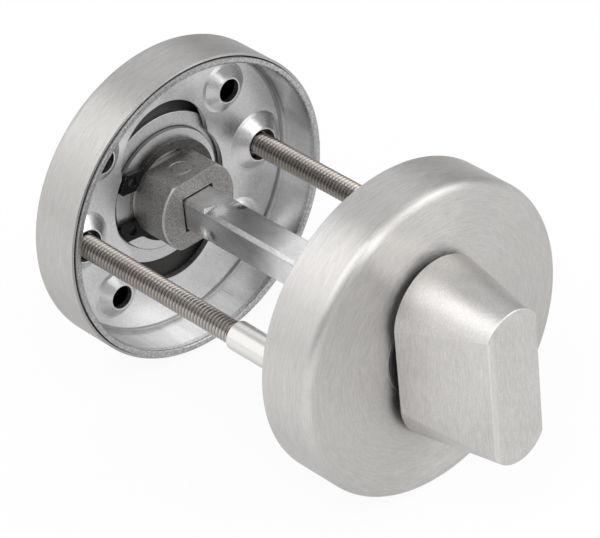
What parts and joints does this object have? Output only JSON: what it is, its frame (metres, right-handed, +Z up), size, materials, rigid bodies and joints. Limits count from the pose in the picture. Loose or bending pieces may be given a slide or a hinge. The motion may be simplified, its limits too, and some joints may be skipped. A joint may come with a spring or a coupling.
{
  "type": "bathroom thumb turn lock",
  "caption": "Round-rose bathroom thumb turn with an outside release, joined through the door by a square spindle and sleeve-nut screws.",
  "frame": {"origin": "on the spindle's axis, in the plane of the inside rose's door face", "axes": "+Y along the spindle from the inside rose towards the outside rose, so the thumb turn points to -Y; +Z up; the through screws lie along X"},
  "size_m": [0.052, 0.0835, 0.052],
  "materials": {
    "brushed_stainless": "satin brushed stainless steel",
    "bright_zinc": "bright zinc plated steel",
    "cast_zinc": "matt grey zinc casting",
    "black_spring_steel": "black phosphated spring steel",
    "stainless_screw": "plain stainless steel",
    "dark_polymer": "moulded bearing polymer"
  },
  "bodies": {
    "roses": {"inside_cover": "brushed_stainless", "outside_cover": "brushed_stainless", "inside_base": "bright_zinc", "outside_base": "bright_zinc", "inside_bush": "dark_polymer", "outside_bush": "dark_polymer", "left_through_screw": "stainless_screw", "right_through_screw": "stainless_screw", "left_sleeve_nut": "stainless_screw", "right_sleeve_nut": "stainless_screw"},
    "turn": {"thumb_turn": "brushed_stainless", "inside_hub": "cast_zinc", "inside_retaining_ring": "black_spring_steel", "inside_washer": "bright_zinc", "inside_bearing_disc": "bright_zinc", "spindle": "bright_zinc", "outside_hub": "cast_zinc", "outside_retaining_ring": "black_spring_steel", "outside_washer": "bright_zinc", "outside_bearing_disc": "bright_zinc", "release_disc": "brushed_stainless"}
  },
  "joints": [
    {"name": "turn_spindle", "type": "hinge", "parent": "roses", "child": "turn", "pos_m": [0, 0, 0], "axis": [0, 1, 0], "range_deg": [-90, 90]}
  ]
}
